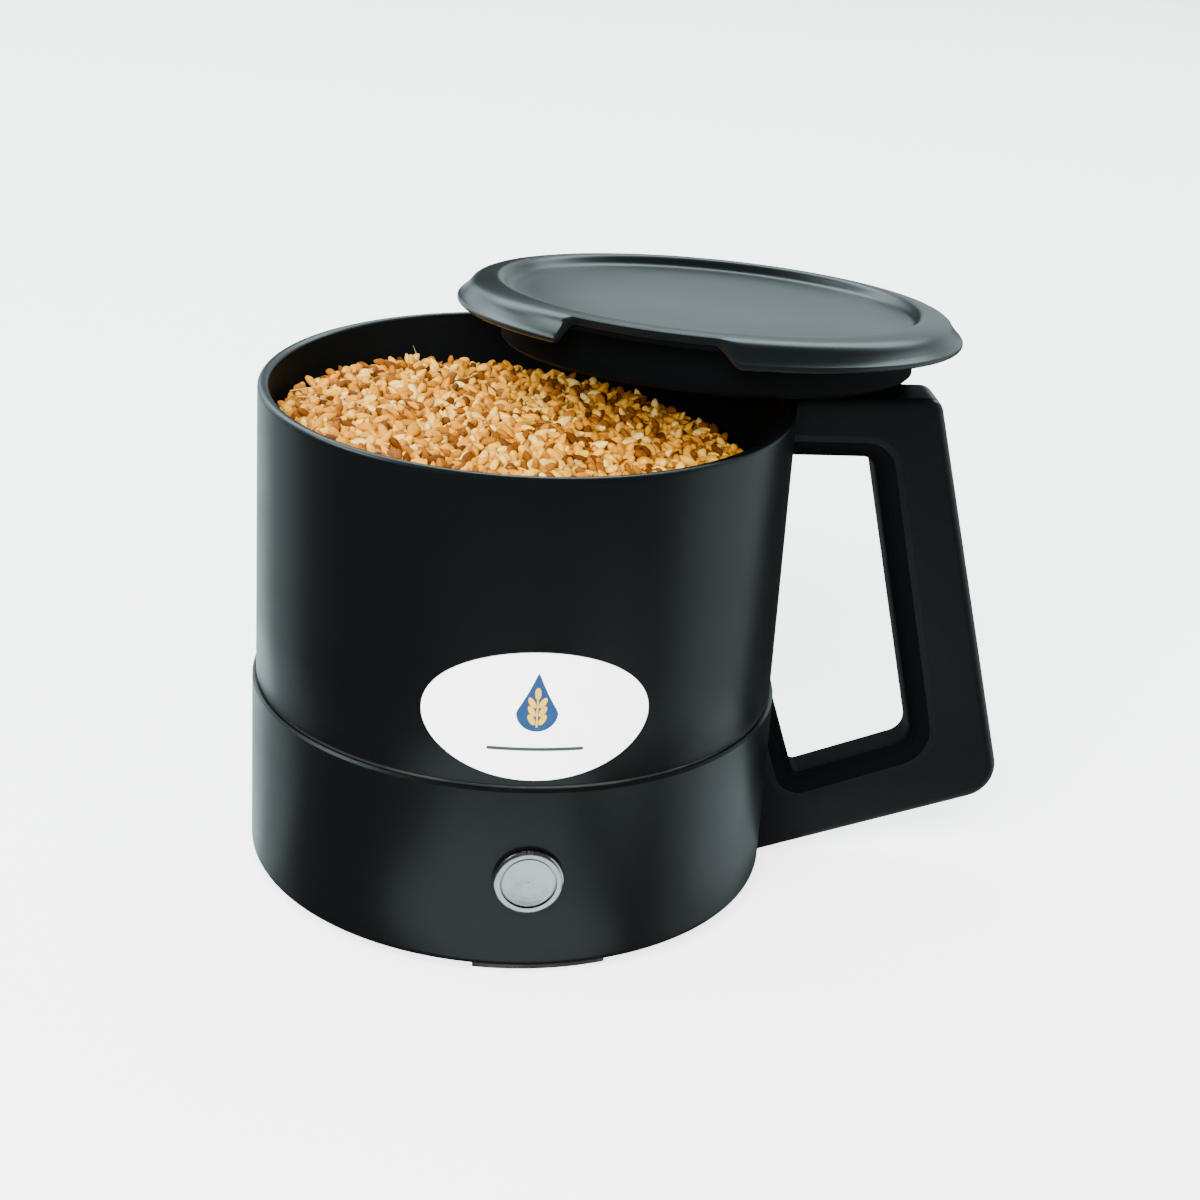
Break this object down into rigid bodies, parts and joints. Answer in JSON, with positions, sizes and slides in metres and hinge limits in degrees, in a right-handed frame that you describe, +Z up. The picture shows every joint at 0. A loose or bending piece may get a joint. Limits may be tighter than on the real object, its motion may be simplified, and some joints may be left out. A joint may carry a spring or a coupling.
{
  "type": "grain moisture meter",
  "caption": "Handheld cup-type grain moisture meter: black round measuring cup on a base housing with a steel push button, side handle and loose lid.",
  "frame": {"origin": "on the axis of the measuring cup, in the plane that the rubber feet stand on", "axes": "+Z up along the axis of the cup; +X towards the handle; -Y towards the front, where the push button and the label are"},
  "size_m": [0.208, 0.1682, 0.1608],
  "materials": {
    "shell_plastic": "satin black moulded plastic",
    "base_plastic": "matt black moulded plastic",
    "handle_plastic": "satin black moulded plastic",
    "lid_plastic": "satin dark grey-black moulded plastic",
    "insulator": "dark grey insulating plastic",
    "electrode_steel": "brushed stainless steel",
    "brass": "machined",
    "rubber": "black rubber",
    "screw_steel": "zinc plated",
    "circuit_board": "green solder mask",
    "component_plastic": "moulded",
    "battery_wrap": "printed wrap",
    "lead_red": "wire insulation",
    "lead_blue": "wire insulation",
    "lead_yellow": "wire insulation",
    "button_steel": "satin stainless steel",
    "label": "printed vinyl sticker"
  },
  "bodies": {
    "meter": {"upper_shell": "shell_plastic", "cell_floor": "insulator", "outer_electrode": "electrode_steel", "centre_electrode": "electrode_steel", "electrode_screw": "brass", "temperature_probe": "electrode_steel", "seam_gasket": "rubber", "base_housing": "shell_plastic", "shell_screws": "screw_steel", "base_plate": "base_plastic", "base_screws": "screw_steel", "rubber_feet": "rubber", "main_pcb": "circuit_board", "pcb_components": "component_plastic", "radio_module": "screw_steel", "pcb_standoffs": "brass", "pcb_screws": "screw_steel", "battery_box": "component_plastic", "battery_springs": "screw_steel", "battery_contacts": "screw_steel", "batteries": "battery_wrap", "battery_lead": "lead_red", "button_lead": "lead_blue", "electrode_lead": "lead_yellow", "button_bezel": "button_steel", "button_spring": "screw_steel", "button_seal": "rubber", "button_nut": "screw_steel", "button_switch": "component_plastic", "handle_front": "handle_plastic", "handle_back": "handle_plastic", "handle_screws": "screw_steel", "label_plate": "label"},
    "lid": {"lid_cap": "lid_plastic", "lid_plug": "lid_plastic"},
    "button": {"button_cap": "button_steel"},
    "door": {"battery_door": "base_plastic"}
  },
  "joints": [
    {"name": "lid_lift", "type": "slide", "parent": "meter", "child": "lid", "axis": [0, 0, 1], "range_m": [0, 0.08]},
    {"name": "button_press", "type": "slide", "parent": "meter", "child": "button", "axis": [0, 1, 0], "range_m": [0, 0.0015], "stiffness_N_per_m": 400, "springref_m": -0.002, "deforming": ["button_spring"]},
    {"name": "door_hinge", "type": "hinge", "parent": "meter", "child": "door", "pos_m": [-0.031, 0, 0.0055], "axis": [0, 1, 0], "range_deg": [0, 95]}
  ]
}
